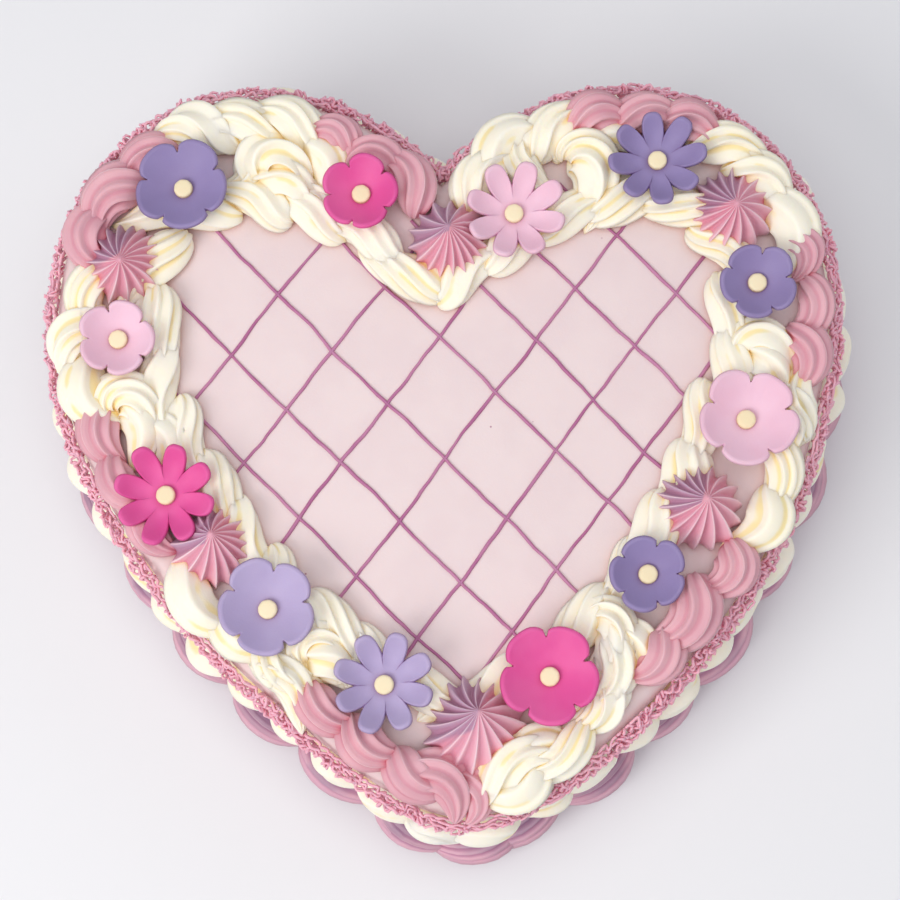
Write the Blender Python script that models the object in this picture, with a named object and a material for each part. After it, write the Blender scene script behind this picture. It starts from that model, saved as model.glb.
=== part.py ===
"""Heart shaped buttercream cake with piped borders, star drops, rosettes and fondant flowers.

Metres, +Z up. The origin is under the middle of the cake, on the surface it stands on.
The heart's tip points to -Y and its two lobes to +Y.
"""
import math
import random

import bmesh
import bpy
from mathutils import Vector
from mathutils.geometry import interpolate_bezier

MM = 0.001
GAP = 0.3 * MM
CLEAR = 0.9 * MM
SHELL_ROOM = 3 * MM

# the cake itself, a heart 244 mm wide
CAKE_HEIGHT = 74 * MM
TOP_ROUNDING = 5 * MM
HALF_WIDTH = 122 * MM
LOBE_TOP = 112 * MM
LOBE_CENTRE = 60 * MM
WIDEST_AT = 42 * MM
NOTCH_AT = 83 * MM
TIP_AT = -116 * MM
TIP_LEAN = 7 * MM
OUTLINE_STEPS = 34

# the smaller heart that the inner border follows
PANEL_HALF_WIDTH = 88 * MM
PANEL_LOBE_TOP = 74 * MM
PANEL_LOBE_CENTRE = 62 * MM
PANEL_NOTCH_AT = 45 * MM
PANEL_TIP_AT = -76 * MM

# thin lines drawn across the panel, by their distance from the origin
LINE_WIDTH = 1.2 * MM
LINE_HEIGHT = 0.9 * MM
LINE_SUNK = 0.6 * MM
FALLING_ANGLE = 134.7
FALLING_LINES = (48.8, 27.4, 3.9, -22.4, -42.4, -63.3)
RISING_ANGLE = 53.1
RISING_LINES = (69.0, 44.6, 20.5, -5.0, -31.5, -53.6)
LINE_END_INSET = 7.2 * MM

# piped borders: shells for each run, and how far each run stands out and up
GROUPS_PER_SIDE = 7
GROUP_GAP = 1.2 * MM
SHELLS_PER_GROUP = 3
TOP_BORDER_INSET = 6 * MM
TOP_BORDER_HALF = 7 * MM
TOP_BORDER_HEIGHT = 10.5 * MM
INNER_SHELLS_PER_SIDE = 12
INNER_BORDER_HALF = 5.6 * MM
INNER_BORDER_HEIGHT = 8.5 * MM
BASE_SHELLS_PER_SIDE = 13
BASE_BORDER_REACH = 15 * MM
BASE_BORDER_HEIGHT = 23 * MM
SWAGS_PER_SIDE = 20
SWAG_REACH = 9 * MM
SWAG_HEIGHT = 19 * MM
SWAG_MIDDLE = 52 * MM
FRILL_KNOTS_PER_SIDE = 28
FRILL_REACH = 4 * MM
FRILL_HEIGHT = 10 * MM
FRILL_MIDDLE = 67.5 * MM

# toppings: name, colour, centre x and y and radius in millimetres
BLOSSOMS = (
    ("purple", -81.7, 79.6, 15.0), ("hot_pink", -24.9, 76.2, 12.0),
    ("purple", 98.1, 46.8, 11.8), ("light_pink", 93.3, 3.6, 15.4),
    ("purple", 62.4, -43.4, 11.5), ("hot_pink", 33.4, -75.0, 15.4),
    ("lilac", -53.1, -54.0, 15.1), ("light_pink", -100.7, 30.0, 11.8),
)
DAISIES = (
    ("light_pink", 23.1, 70.2, 15.6), ("purple", 68.2, 87.1, 15.0),
    ("lilac", -16.8, -76.6, 15.6), ("hot_pink", -84.3, -18.6, 15.6),
)
DROPS = (
    (-100.0, 56.0, 12.6), (2.9, 62.6, 13.2), (91.3, 72.2, 13.4),
    (79.0, -22.7, 13.6), (10.2, -90.5, 15.6), (-70.8, -34.2, 13.0),
)
ROSETTES = (
    (-52.4, 85.2, 13.8), (43.6, 84.4, 13.4), (99.0, 24.2, 12.8),
    (-98.0, 7.2, 12.8), (-36.8, -68.0, 12.0), (49.4, -60.8, 11.8),
)
BLOSSOM_PETALS = 5
DAISY_PETALS = 8
FLOWER_FOOT = 3.0 * MM
FLOWER_KEEP_OUT = 4.8 * MM
BEAD_RADIUS = 2.8 * MM
PETAL_THICKNESS = 1.6 * MM
FLOWER_FLOOR = 7.0 * MM
FLOWER_BEND = 10.7 * MM
FLOWER_RIM = 13.8 * MM
BEND_SHARE = 0.62
DROP_RIBS = 12
DROP_HEIGHT = 16 * MM
ROSETTE_RIBS = 8
ROSETTE_HEIGHT = 11.5 * MM

DECK = CAKE_HEIGHT + GAP
SEED = 12

# colour and roughness of each icing
ICINGS = {
    "pale_pink_icing": ((0.83, 0.68, 0.68), 0.55),
    "plum_line": ((0.42, 0.12, 0.27), 0.5),
    "cream_icing": ((0.95, 0.88, 0.70), 0.5),
    "pink_icing": ((0.74, 0.36, 0.46), 0.55),
    "two_tone_icing": ((0.58, 0.30, 0.40), 0.55),
    "purple_paste": ((0.30, 0.22, 0.50), 0.6),
    "lilac_paste": ((0.42, 0.34, 0.62), 0.6),
    "hot_pink_paste": ((0.80, 0.06, 0.33), 0.6),
    "light_pink_paste": ((0.80, 0.50, 0.68), 0.6),
}


def icing(name):
    """Return the material of this name, made once."""
    known = bpy.data.materials.get(name)
    if known:
        return known
    colour, roughness = ICINGS[name]
    made = bpy.data.materials.new(name)
    made.use_nodes = True
    shader = made.node_tree.nodes["Principled BSDF"]
    shader.inputs["Base Color"].default_value = (*colour, 1.0)
    shader.inputs["Roughness"].default_value = roughness
    shader.inputs["Metallic"].default_value = 0.0
    made.diffuse_color = (*colour, 1.0)
    return made


def half_heart(half_width, lobe_top, lobe_centre, notch, tip):
    """Bezier pieces of a heart's right half, from the notch to the tip."""
    widest = (half_width, WIDEST_AT)
    shoulder = (lobe_centre, lobe_top)
    turn = (half_width * 0.27, tip + 0.115 * half_width)
    return (
        ((0.0, notch), (half_width * 0.10, notch + 0.107 * half_width),
         (lobe_centre * 0.54, lobe_top), shoulder),
        (shoulder, (lobe_centre + 0.29 * half_width, lobe_top),
         (half_width, lobe_top - 0.25 * half_width), widest),
        (widest, (half_width, WIDEST_AT - 0.44 * half_width),
         (half_width * 0.69, tip + 0.43 * half_width), turn),
        (turn, (half_width * 0.18, tip + 0.053 * half_width), (half_width * 0.1, tip), (0.0, tip)),
    )


def panel_half():
    """The same for the inner border, whose lobes have tighter outer corners."""
    half, top, tip = PANEL_HALF_WIDTH, PANEL_LOBE_TOP, PANEL_TIP_AT
    shoulder = (PANEL_LOBE_CENTRE, top)
    turn = (half * 0.39, tip + 0.18 * half)
    return (
        ((0.0, PANEL_NOTCH_AT), (half * 0.17, PANEL_NOTCH_AT + 0.08 * half),
         (PANEL_LOBE_CENTRE * 0.56, top - 0.01 * half), shoulder),
        (shoulder, (half * 0.91, top), (half, top - 0.14 * half), (half, WIDEST_AT)),
        ((half, WIDEST_AT), (half, WIDEST_AT - 0.34 * half), (half * 0.75, tip + 0.52 * half), turn),
        (turn, (half * 0.27, tip + 0.07 * half), (half * 0.14, tip), (0.0, tip)),
    )


class Run:
    """One side of a heart line, walked from the notch to the tip; side is 1 right, -1 left."""

    def __init__(self, pieces, side):
        self.side = side
        self.points = []
        for start, first, second, end in pieces:
            knots = [Vector((*knot, 0.0)) for knot in (start, first, second, end)]
            curve = interpolate_bezier(*knots, OUTLINE_STEPS)
            self.points += [self.lean(point) for point in curve[:-1]]
        self.points.append(self.lean(curve[-1]))
        self.marks = [0.0]
        for a, b in zip(self.points, self.points[1:]):
            self.marks.append(self.marks[-1] + (b - a).length)
        self.length = self.marks[-1]

    def lean(self, point):
        """Mirror a point to this side and lean the tip a little to +X."""
        share = min(max((10 * MM - point.y) / (100 * MM), 0.0), 1.0)
        return Vector((self.side * point.x + TIP_LEAN * share, point.y, 0.0))

    def at(self, distance):
        """Return the point at this distance and the outward direction there."""
        distance = min(max(distance, 0.0), self.length)
        index = 0
        while index < len(self.marks) - 2 and self.marks[index + 1] < distance:
            index += 1
        a, b = self.points[index], self.points[index + 1]
        share = (distance - self.marks[index]) / (self.marks[index + 1] - self.marks[index])
        before = self.points[max(index - 1, 0)]
        after = self.points[min(index + 2, len(self.points) - 1)]
        along = (after - before).normalized()
        out = Vector((-along.y, along.x, 0.0)) * self.side
        return a.lerp(b, share), out


def add_object(name, mesh, material_name):
    """Link a finished mesh to the cake's collection with its material."""
    mesh.materials.append(icing(material_name))
    made = bpy.data.objects.new(name, mesh)
    cake_parts.objects.link(made)
    return made


def loft(name, rings, material_name):
    """Close a solid from rings of equal point counts, listed from one end to the other."""
    shape = bmesh.new()
    rows = [[shape.verts.new(point) for point in ring] for ring in rings]
    count = len(rings[0])
    for row, following in zip(rows, rows[1:]):
        for i in range(count):
            j = (i + 1) % count
            shape.faces.new((row[i], row[j], following[j], following[i]))
    shape.faces.new(list(reversed(rows[0])))
    shape.faces.new(rows[-1])
    bmesh.ops.triangulate(shape, faces=shape.faces, quad_method="SHORT_EDGE")
    bmesh.ops.recalc_face_normals(shape, faces=shape.faces)
    mesh = bpy.data.meshes.new(name)
    shape.to_mesh(mesh)
    shape.free()
    return add_object(name, mesh, material_name)


class Topping:
    """What stands on the deck: its foot keeps piping away, its rim presses piping down."""

    def __init__(self, x, y, radius, foot, lifted):
        self.centre = Vector((x * MM, y * MM, 0.0))
        self.radius = radius * MM
        self.foot = foot
        self.lifted = lifted

    def distance(self, point):
        return math.hypot(point.x - self.centre.x, point.y - self.centre.y)

    def ceiling(self, distance):
        """Height of a flower's underside at this distance from its centre."""
        bend = BEND_SHARE * self.radius
        if distance < bend:
            return DECK + FLOWER_BEND * (distance - FLOWER_FOOT) / (bend - FLOWER_FOOT)
        share = min((distance - bend) / (self.radius - bend), 1.0)
        return DECK + FLOWER_BEND + (FLOWER_RIM - FLOWER_BEND) * share


def press_down(point, below):
    """Lower a point of soft piping that would touch the underside of a flower."""
    for topping in below:
        distance = topping.distance(point)
        if topping.lifted and distance < topping.radius + 2 * MM:
            point.z = min(point.z, topping.ceiling(distance) - CLEAR)
    return point


def push_aside(point, beside, room=0.0):
    """Move a point of soft piping out of the foot of each topping."""
    for topping in beside:
        distance = topping.distance(point)
        least = topping.foot + CLEAR + room
        if distance < least:
            away = Vector((point.x - topping.centre.x, point.y - topping.centre.y, 0.0))
            point += away * (least / distance - 1.0)
    return point


def arch(half_width, height, ridges):
    """Half-round section of a shell that lies on the deck, with a groove between ridges."""
    points = []
    steps = 2 * (ridges - 1)
    for step in range(steps + 1):
        angle = math.pi * step / steps
        reach = 1.0 if step % 2 == 0 else 0.84
        points.append((half_width * reach * math.cos(angle), height * reach * math.sin(angle)))
    return points


def flank(reach, height, count):
    """Section of piping on the upright side: flat at the back and rounded in front."""
    points = [(GAP, -height / 2)]
    for step in range(count):
        angle = math.pi * (step + 0.5) / count - math.pi / 2
        points.append((GAP + reach * math.cos(angle) ** 0.6, height / 2 * math.sin(angle)))
    points.append((GAP, height / 2))
    return points


def footing(reach, height):
    """Section of a shell at the foot of the cake: flat below, three ridges outside."""
    return [
        (GAP, 0.0), (GAP + 0.78 * reach, 0.0), (GAP + reach, 0.26 * height),
        (GAP + 0.86 * reach, 0.42 * height), (GAP + 0.90 * reach, 0.60 * height),
        (GAP + 0.62 * reach, 0.74 * height), (GAP + 0.52 * reach, 0.92 * height),
        (GAP, height),
    ]


SHELL_SWELL = ((0.0, 0.62, 0.60), (0.22, 0.98, 1.0), (0.5, 1.0, 0.96), (0.8, 0.78, 0.74))
BASE_SWELL = ((0.0, 0.78, 0.80), (0.28, 1.0, 1.0), (0.66, 0.92, 0.92))
SWAG_SWELL = ((0.0, 0.55, 0.80), (0.5, 1.0, 1.0))
KNOT_SWELL = ((0.0, 0.60, 0.70), (0.5, 1.0, 1.0))


def pipe_run(name, run, stretch, shells, place, section, swell, material_name, toppings=()):
    """Pipe shells along one side of a heart; place is the offset from the line and the height."""
    start, end = stretch
    offset, level = place
    pitch = (end - start) / shells
    rings = []
    for index in range(shells * len(swell) + 1):
        shell, beat = divmod(index, len(swell))
        if beat == 0:
            uneven = draw.uniform(0.93, 1.05)
        share, wide, high = swell[beat]
        line, out = run.at(start + pitch * (shell + share))
        middle = push_aside(line + out * offset, toppings, room=SHELL_ROOM)
        ring = []
        for across, up in section:
            point = middle + out * across * wide * uneven
            point.z = level + up * high * uneven
            point = press_down(push_aside(point, toppings), toppings)
            if point.y > 0:
                point.x = run.side * max(run.side * point.x, GAP)
            ring.append(point)
        rings.append(ring)
    return loft(name, rings, material_name)


def polar_ring(centre, height, radii, turn=0.0):
    """Ring of points about an upright axis, one radius for each point."""
    ring = []
    for index, radius in enumerate(radii):
        angle = 2 * math.pi * index / len(radii) + turn
        ring.append(Vector((centre.x + radius * math.cos(angle),
                            centre.y + radius * math.sin(angle), height)))
    return ring


def petal_radii(petals, radius, notch, per_petal):
    """Radius of each rim point: deep in the notches, full at the petals' ends."""
    shapes = {3: (notch, 0.97, 0.97), 4: (notch, 0.93, 1.0, 0.93)}
    return [radius * factor for _ in range(petals) for factor in shapes[per_petal]]


def make_flower(name, topping, petals, notch, per_petal, turn, material_name):
    """Cupped flower on a short foot, with a bead of icing in its middle."""
    count = petals * per_petal
    centre = topping.centre
    rim = petal_radii(petals, topping.radius, notch, per_petal)
    bend = [BEND_SHARE * radius for radius in rim]
    inner_bend = [0.87 * radius for radius in bend]
    floor = DECK + FLOWER_FLOOR
    rings = [
        polar_ring(centre, DECK, [FLOWER_FOOT] * count, turn),
        polar_ring(centre, DECK + FLOWER_BEND, bend, turn),
        polar_ring(centre, DECK + FLOWER_RIM, rim, turn),
        polar_ring(centre, DECK + FLOWER_BEND + PETAL_THICKNESS, inner_bend, turn),
        polar_ring(centre, floor, [BEAD_RADIUS] * count, turn),
        polar_ring(centre, floor + 2.0 * MM, [0.72 * BEAD_RADIUS] * count, turn),
    ]
    return loft(name, rings, material_name)


def make_drop(name, topping, toppings, material_name):
    """Ribbed star drop that rises to a point."""
    profile = ((0.0, 0.80), (0.20, 1.0), (0.45, 0.76), (0.72, 0.42), (1.0, 0.08))
    rings = []
    for up, wide in profile:
        radius = (topping.foot - 0.1 * MM) * wide
        radii = [radius, radius * 0.80] * DROP_RIBS
        ring = polar_ring(topping.centre, DECK + DROP_HEIGHT * up, radii, turn=0.5 * up)
        rings.append([press_down(point, toppings) for point in ring])
    return loft(name, rings, material_name)


def make_rosette(name, topping, toppings, material_name):
    """Swirled rosette, its ribs turning as they climb."""
    profile = ((0.0, 0.86), (0.28, 1.0), (0.66, 0.76), (0.92, 0.40), (1.0, 0.12))
    rings = []
    for up, wide in profile:
        radius = (topping.foot - 0.1 * MM) * wide
        radii = [radius, radius * 0.82] * ROSETTE_RIBS
        ring = polar_ring(topping.centre, DECK + ROSETTE_HEIGHT * up, radii, turn=1.5 * up)
        rings.append([press_down(point, toppings) for point in ring])
    return loft(name, rings, material_name)


def inside_span(angle, distance, outline):
    """Ends of a straight line, given by its angle and distance, inside a closed outline."""
    along = Vector((math.cos(math.radians(angle)), math.sin(math.radians(angle)), 0.0))
    across = Vector((-along.y, along.x, 0.0))
    crossings = []
    for a, b in zip(outline, outline[1:] + outline[:1]):
        left, right = a.dot(across) - distance, b.dot(across) - distance
        if left * right < 0:
            crossings.append(a.lerp(b, left / (left - right)).dot(along))
    crossings.sort()
    return along, across, list(zip(crossings[0::2], crossings[1::2]))


def make_lines(outline, collection):
    """Bars of the crossed lines, cut off at the inner border."""
    families = [(FALLING_ANGLE, distance * MM) for distance in FALLING_LINES]
    families += [(RISING_ANGLE, distance * MM) for distance in RISING_LINES]
    for angle, distance in families:
        along, across, spans = inside_span(angle, distance, outline)
        for low, high in spans:
            middle = along * (low + high) / 2 + across * distance
            middle.z = CAKE_HEIGHT + (LINE_HEIGHT - LINE_SUNK) / 2
            bpy.ops.mesh.primitive_cube_add(size=1, location=middle)
            bar = bpy.context.object
            bar.scale = (high - low, LINE_WIDTH, LINE_HEIGHT + LINE_SUNK)
            bar.rotation_euler.z = math.radians(angle)
            bar.data.materials.append(icing("plum_line"))
            for owner in bar.users_collection:
                owner.objects.unlink(bar)
            collection.objects.link(bar)


def make_cake(wall, outline):
    """The heart itself, with a rounded top edge and the lines fused to its top."""
    flat = bpy.data.curves.new("cake", "CURVE")
    flat.dimensions = "2D"
    flat.fill_mode = "BOTH"
    flat.extrude = CAKE_HEIGHT / 2
    spline = flat.splines.new("POLY")
    spline.points.add(len(wall) - 1)
    for knot, point in zip(spline.points, wall):
        knot.co = (point.x, point.y, 0.0, 1.0)
    spline.use_cyclic_u = True
    outline_object = bpy.data.objects.new("cake_outline", flat)
    cake_parts.objects.link(outline_object)
    evaluated = outline_object.evaluated_get(bpy.context.evaluated_depsgraph_get())
    mesh = bpy.data.meshes.new_from_object(evaluated)
    bpy.data.objects.remove(outline_object)
    shape = bmesh.new()
    shape.from_mesh(mesh)
    bmesh.ops.remove_doubles(shape, verts=shape.verts, dist=0.01 * MM)
    bmesh.ops.translate(shape, verts=shape.verts, vec=(0, 0, CAKE_HEIGHT / 2))
    top = [edge for edge in shape.edges
           if all(vert.co.z > CAKE_HEIGHT / 2 for vert in edge.verts)
           and any(abs(face.normal.z) < 0.5 for face in edge.link_faces)]
    bmesh.ops.bevel(shape, geom=top, offset=TOP_ROUNDING, segments=2, affect="EDGES",
                    profile=0.5, clamp_overlap=True)
    bmesh.ops.recalc_face_normals(shape, faces=shape.faces)
    shape.to_mesh(mesh)
    shape.free()
    cake = add_object("cake", mesh, "pale_pink_icing")
    make_lines(outline, line_parts)
    join = cake.modifiers.new("lines", "BOOLEAN")
    join.operation = "UNION"
    join.operand_type = "COLLECTION"
    join.collection = line_parts
    join.use_self = True
    join.material_mode = "TRANSFER"
    bpy.context.view_layer.objects.active = cake
    bpy.ops.object.modifier_apply(modifier=join.name)
    for bar in list(line_parts.objects):
        bpy.data.objects.remove(bar)
    return cake


def ring_of(pieces, inset, count, beside=()):
    """Evenly spaced points round a whole heart, moved inward past what stands beside it."""
    right, left = Run(pieces, 1), Run(pieces, -1)
    walks = [(right, index) for index in range(count)] + [(left, index) for index in range(count, 0, -1)]
    points = []
    for run, index in walks:
        line, out = run.at(run.length * index / count)
        points.append(push_aside(line, beside, room=SHELL_ROOM) - out * inset)
    return points


for leftover in list(bpy.data.objects):
    bpy.data.objects.remove(leftover)
cake_parts = bpy.data.collections.new("heart_cake")
line_parts = bpy.data.collections.new("line_cutters")
bpy.context.scene.collection.children.link(cake_parts)
bpy.context.scene.collection.children.link(line_parts)
draw = random.Random(SEED)

wall_pieces = half_heart(HALF_WIDTH, LOBE_TOP, LOBE_CENTRE, NOTCH_AT, TIP_AT)
panel_pieces = panel_half()
flowers = [Topping(x, y, radius, FLOWER_KEEP_OUT, True) for _, x, y, radius in BLOSSOMS + DAISIES]
drops = [Topping(x, y, radius, radius * MM, False) for x, y, radius in DROPS]
rosettes = [Topping(x, y, radius, radius * MM, False) for x, y, radius in ROSETTES]
toppings = flowers + drops + rosettes

make_cake(ring_of(wall_pieces, 0.0, 32), ring_of(panel_pieces, LINE_END_INSET, 60, toppings))

deck_section = arch(TOP_BORDER_HALF, TOP_BORDER_HEIGHT, 4)
inner_section = arch(INNER_BORDER_HALF, INNER_BORDER_HEIGHT, 3)
base_section = footing(BASE_BORDER_REACH, BASE_BORDER_HEIGHT)
swag_section = flank(SWAG_REACH, SWAG_HEIGHT, 3)
frill_section = flank(FRILL_REACH, FRILL_HEIGHT, 3)
counts = {"cream": 0, "pink": 0}
for side, side_name, colours in ((1, "right", ("cream", "pink")), (-1, "left", ("pink", "cream"))):
    wall = Run(wall_pieces, side)
    whole = (GAP, wall.length - GAP)
    group_length = (whole[1] - whole[0]) / GROUPS_PER_SIDE
    for group in range(GROUPS_PER_SIDE):
        colour = colours[group % 2]
        counts[colour] += 1
        begin = whole[0] + group * group_length
        pipe_run(f"top_border_{colour}_{counts[colour]}", wall, (begin, begin + group_length - GROUP_GAP),
                 SHELLS_PER_GROUP, (-TOP_BORDER_INSET, DECK), deck_section, SHELL_SWELL,
                 f"{colour}_icing", toppings)
    pipe_run(f"frill_{side_name}", wall, whole, FRILL_KNOTS_PER_SIDE, (0.0, FRILL_MIDDLE),
             frill_section, KNOT_SWELL, "pink_icing")
    pipe_run(f"side_swags_{side_name}", wall, whole, SWAGS_PER_SIDE, (0.0, SWAG_MIDDLE),
             swag_section, SWAG_SWELL, "cream_icing")
    pipe_run(f"base_border_{side_name}", wall, whole, BASE_SHELLS_PER_SIDE, (0.0, 0.0),
             base_section, BASE_SWELL, "two_tone_icing")
    panel = Run(panel_pieces, side)
    middle = panel.length / 2
    for part, stretch in (("upper", (GAP, middle - GAP)), ("lower", (middle, panel.length - GAP))):
        pipe_run(f"inner_border_{part}_{side_name}", panel, stretch, INNER_SHELLS_PER_SIDE // 2,
                 (0.0, DECK), inner_section, SHELL_SWELL, "cream_icing", toppings)

for number, (topping, entry) in enumerate(zip(flowers, BLOSSOMS + DAISIES), start=1):
    turn = draw.uniform(0.0, 2 * math.pi)
    if number <= len(BLOSSOMS):
        make_flower(f"blossom_{number}_{entry[0]}", topping, BLOSSOM_PETALS, 0.80, 4, turn,
                    f"{entry[0]}_paste")
    else:
        make_flower(f"daisy_{number - len(BLOSSOMS)}_{entry[0]}", topping, DAISY_PETALS, 0.55, 3,
                    turn, f"{entry[0]}_paste")
for number, topping in enumerate(drops, start=1):
    make_drop(f"star_drop_{number}", topping, flowers, "two_tone_icing")
for number, topping in enumerate(rosettes, start=1):
    make_rosette(f"rosette_{number}", topping, flowers, "cream_icing")
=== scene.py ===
import math
import random

import bpy
from mathutils import Matrix, Vector, noise
from mathutils.geometry import interpolate_bezier


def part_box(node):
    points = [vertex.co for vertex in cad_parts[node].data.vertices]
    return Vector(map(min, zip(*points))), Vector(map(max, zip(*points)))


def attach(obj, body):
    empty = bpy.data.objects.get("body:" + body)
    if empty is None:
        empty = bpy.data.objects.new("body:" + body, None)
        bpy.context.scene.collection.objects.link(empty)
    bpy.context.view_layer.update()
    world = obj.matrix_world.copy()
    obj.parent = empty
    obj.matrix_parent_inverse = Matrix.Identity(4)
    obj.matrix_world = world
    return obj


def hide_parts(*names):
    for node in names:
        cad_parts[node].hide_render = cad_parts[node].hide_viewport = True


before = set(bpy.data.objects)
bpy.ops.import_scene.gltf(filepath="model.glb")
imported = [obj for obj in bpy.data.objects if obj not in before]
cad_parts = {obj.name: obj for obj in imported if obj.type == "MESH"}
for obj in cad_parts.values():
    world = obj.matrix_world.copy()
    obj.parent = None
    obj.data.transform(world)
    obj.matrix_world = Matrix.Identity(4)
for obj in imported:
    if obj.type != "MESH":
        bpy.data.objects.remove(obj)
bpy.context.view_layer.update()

mm = 0.001
dice = random.Random(7)
noise.seed_set(7)

# the heart lines, as in the solids; widths, heights and places in mm
cake = {"height": 74, "halfWidth": 122, "lobeTop": 112, "lobeCentre": 60, "widestAt": 42,
        "notchAt": 83, "tipAt": -116, "tipLean": 7, "leanFrom": 10, "leanOver": 100, "rounding": 5,
        "roundSteps": 5, "curveSteps": 60, "outlineSteps": 110, "deckAbove": 0.3}
panel = {"halfWidth": 88, "lobeTop": 74, "lobeCentre": 62, "notchAt": 45, "tipAt": -76}
deck = (cake["height"] + cake["deckAbove"]) * mm


def deselectAll():
    if bpy.context.object and bpy.context.object.mode != "OBJECT":
        bpy.ops.object.mode_set(mode="OBJECT")
    bpy.ops.object.select_all(action="DESELECT")


def makeActive(piece):
    deselectAll()
    piece.select_set(True)
    bpy.context.view_layer.objects.active = piece


def applyAll(piece):
    makeActive(piece)
    for modifier in list(piece.modifiers):
        bpy.ops.object.modifier_apply(modifier=modifier.name)


def closeSurface(piece):
    # merge the seam, fill the ends and turn every face outward
    seam = 0.002 * mm
    makeActive(piece)
    bpy.ops.object.mode_set(mode="EDIT")
    bpy.ops.mesh.select_all(action="SELECT")
    bpy.ops.mesh.remove_doubles(threshold=seam)
    bpy.ops.mesh.fill_holes(sides=0)
    bpy.ops.mesh.select_all(action="SELECT")
    bpy.ops.mesh.normals_make_consistent(inside=False)
    bpy.ops.object.mode_set(mode="OBJECT")


def smoothShade(piece):
    makeActive(piece)
    bpy.ops.object.shade_smooth()


def copyTo(source, matrix):
    # a copy with its own mesh, moved inside the mesh
    mesh = source.data.copy()
    mesh.transform(matrix)
    if matrix.determinant() < 0:
        mesh.flip_normals()
    made = bpy.data.objects.new(source.name + "Copy", mesh)
    bpy.context.scene.collection.objects.link(made)
    return made


def joinPieces(name, pieces):
    deselectAll()
    for piece in pieces:
        piece.select_set(True)
    bpy.context.view_layer.objects.active = pieces[0]
    if len(pieces) > 1:
        bpy.ops.object.join()
    joined = bpy.context.object
    joined.name = name
    return joined


def unevenSurface(piece, size, strength):
    # soft dents and swellings, as hand piping has; both in mm
    texture = bpy.data.textures.new(piece.name + "Lumps", "CLOUDS")
    texture.noise_scale = size * mm
    texture.noise_depth = 1
    lumps = piece.modifiers.new("lumps", "DISPLACE")
    lumps.texture = texture
    lumps.texture_coords = "LOCAL"
    lumps.strength = strength * mm
    lumps.mid_level = 0.5
    applyAll(piece)


def nodesNamed(start):
    return [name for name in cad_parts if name.startswith(start)]


def dress(piece, material, nodes=()):
    piece.data.materials.clear()
    piece.data.materials.append(material)
    smoothShade(piece)
    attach(piece, "root")
    if nodes:
        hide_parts(*nodes)
    return piece


# heart lines

def heartPieces(shape):
    # Bezier pieces of the cake's right half, notch to tip
    half, top, notch, tip = shape["halfWidth"], shape["lobeTop"], shape["notchAt"], shape["tipAt"]
    widest = (half, cake["widestAt"])
    shoulder = (shape["lobeCentre"], top)
    turn = (half * 0.27, tip + 0.115 * half)
    inner = (shape["lobeCentre"] * 0.54, top)
    return (((0, notch), (half * 0.10, notch + 0.107 * half), inner, shoulder),
            (shoulder, (shape["lobeCentre"] + 0.29 * half, top), (half, top - 0.25 * half), widest),
            (widest, (half, widest[1] - 0.44 * half), (half * 0.69, tip + 0.43 * half), turn),
            (turn, (half * 0.18, tip + 0.053 * half), (half * 0.1, tip), (0, tip)))


def panelPieces(shape):
    # the same for the inner border, with tighter outer corners
    half, top, notch, tip = shape["halfWidth"], shape["lobeTop"], shape["notchAt"], shape["tipAt"]
    widest = (half, cake["widestAt"])
    shoulder = (shape["lobeCentre"], top)
    turn = (half * 0.39, tip + 0.18 * half)
    inner = (shape["lobeCentre"] * 0.56, top - 0.01 * half)
    return (((0, notch), (half * 0.17, notch + 0.08 * half), inner, shoulder),
            (shoulder, (half * 0.91, top), (half, top - 0.14 * half), widest),
            (widest, (half, widest[1] - 0.34 * half), (half * 0.75, tip + 0.52 * half), turn),
            (turn, (half * 0.27, tip + 0.07 * half), (half * 0.14, tip), (0, tip)))


def heartSide(pieces, side):
    # sampled line with its lengths; side is 1 on the right and -1 on the left
    points = []
    for knots in pieces:
        curve = interpolate_bezier(*[Vector((x, y, 0)) * mm for x, y in knots], cake["curveSteps"])
        points += curve[:-1]
    points.append(curve[-1])
    leaned = []
    for point in points:
        share = min(max((cake["leanFrom"] * mm - point.y) / (cake["leanOver"] * mm), 0), 1)
        leaned.append(Vector((side * point.x + cake["tipLean"] * mm * share, point.y, 0)))
    marks = [0]
    for a, b in zip(leaned, leaned[1:]):
        marks.append(marks[-1] + (b - a).length)
    return {"points": leaned, "marks": marks, "side": side, "length": marks[-1]}


def walk(line, distance):
    # place, direction along and direction outward at a distance from the notch
    points, marks = line["points"], line["marks"]
    distance = min(max(distance, 0), line["length"])
    index = 0
    while index < len(marks) - 2 and marks[index + 1] < distance:
        index += 1
    share = (distance - marks[index]) / (marks[index + 1] - marks[index])
    along = (points[min(index + 3, len(points) - 1)] - points[max(index - 2, 0)]).normalized()
    out = Vector((-along.y, along.x, 0)) * line["side"]
    return points[index].lerp(points[index + 1], share), along, out


def standAt(place, along, out):
    # matrix that lays a piece along the line, its y outward and its z up
    matrix = Matrix((along, out, Vector((0, 0, 1)))).transposed().to_4x4()
    matrix.translation = place
    return matrix


def hangAt(place, along, out):
    # the same on the upright wall: its z outward and its y up
    matrix = Matrix((along, Vector((0, 0, 1)), out)).transposed().to_4x4()
    matrix.translation = place
    return matrix


walls = {side: heartSide(heartPieces(cake), side) for side in (1, -1)}
panels = {side: heartSide(panelPieces(panel), side) for side in (1, -1)}


# piping

def starTip(ribs, steps, depth, power, uneven, lean=0.5, shallow=0.3):
    # steps are the points round each rib, depth is the share of the radius that a hollow takes
    return {"ribs": ribs, "steps": steps, "depth": depth, "power": power, "uneven": uneven,
            "lean": lean, "shallow": shallow}


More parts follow.
